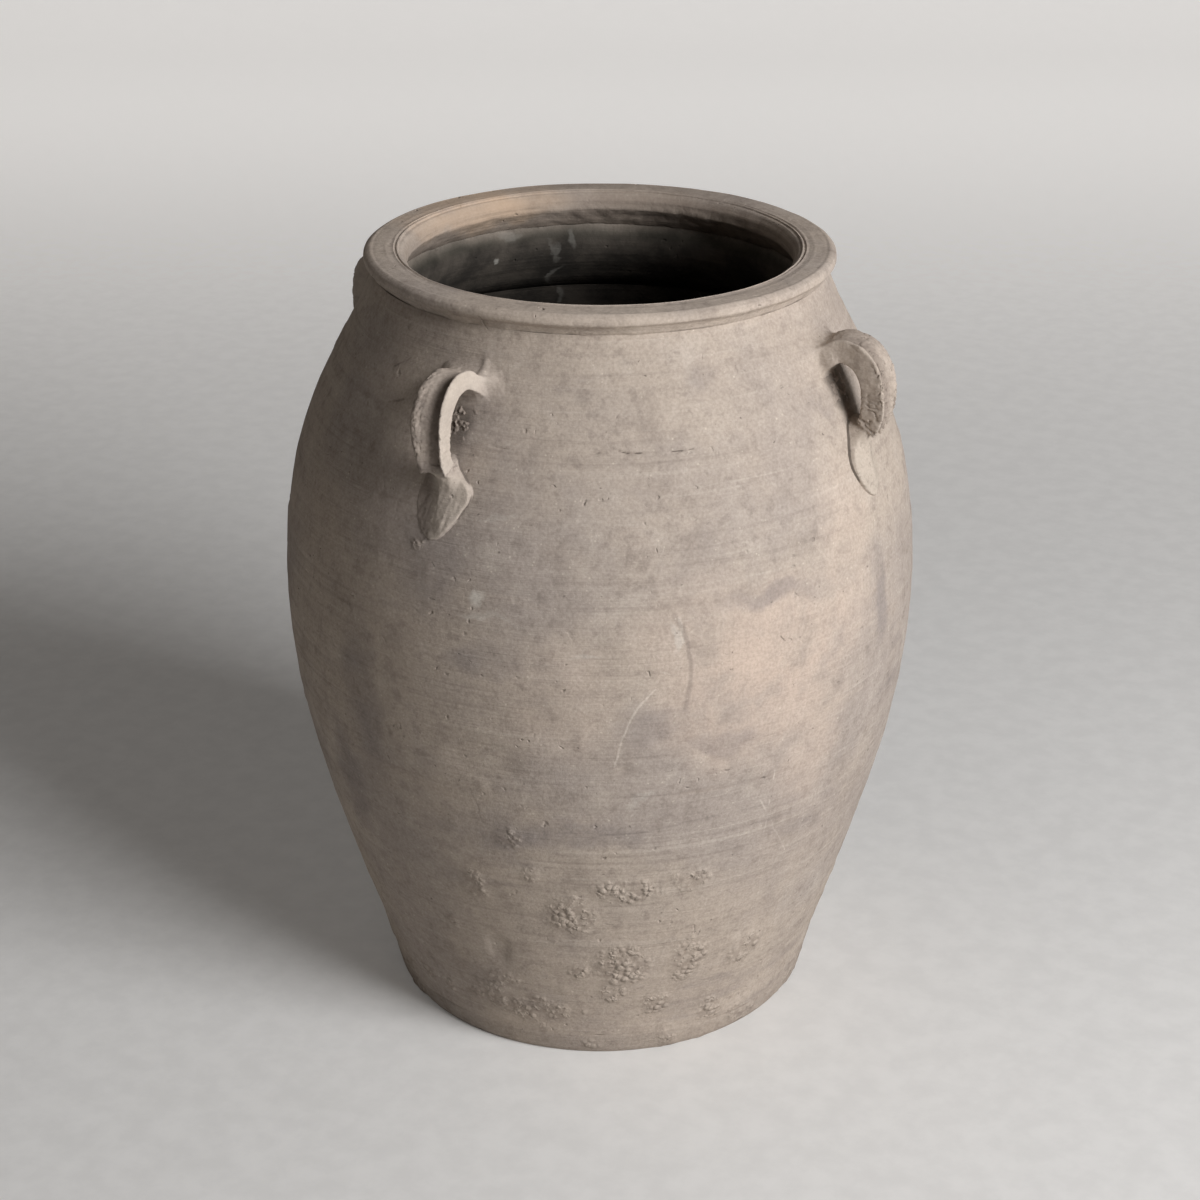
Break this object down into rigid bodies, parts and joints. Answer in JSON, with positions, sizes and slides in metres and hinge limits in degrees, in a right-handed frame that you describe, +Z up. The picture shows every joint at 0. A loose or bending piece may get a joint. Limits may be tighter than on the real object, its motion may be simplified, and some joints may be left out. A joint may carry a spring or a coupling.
{
  "type": "olive jar",
  "caption": "Tall unglazed clay storage jar with a flat rolled lip, a swelling belly, a narrow flat foot and pulled strap handles round the shoulder.",
  "frame": {"origin": "centre of the flat underside, on the surface that the jar stands on", "axes": "+Z up along the jar's axis; +X through the right handle; -Y through the front handle"},
  "size_m": [0.307, 0.307, 0.38],
  "materials": {
    "clay_wall": "matte, wheel-lined, smoke-stained",
    "clay_shoulder": "matte, wheel-lined",
    "clay_rim": "matte, wiped smooth",
    "clay_base": "rough, crusted",
    "clay_handle": "matte, finger-wiped"
  },
  "bodies": {
    "root": {"base": "clay_base", "body_wall": "clay_wall", "shoulder_ring": "clay_shoulder", "rim_collar": "clay_rim", "handle_right": "clay_handle", "handle_front": "clay_handle", "handle_left": "clay_handle", "handle_back": "clay_handle"}
  },
  "joints": []
}
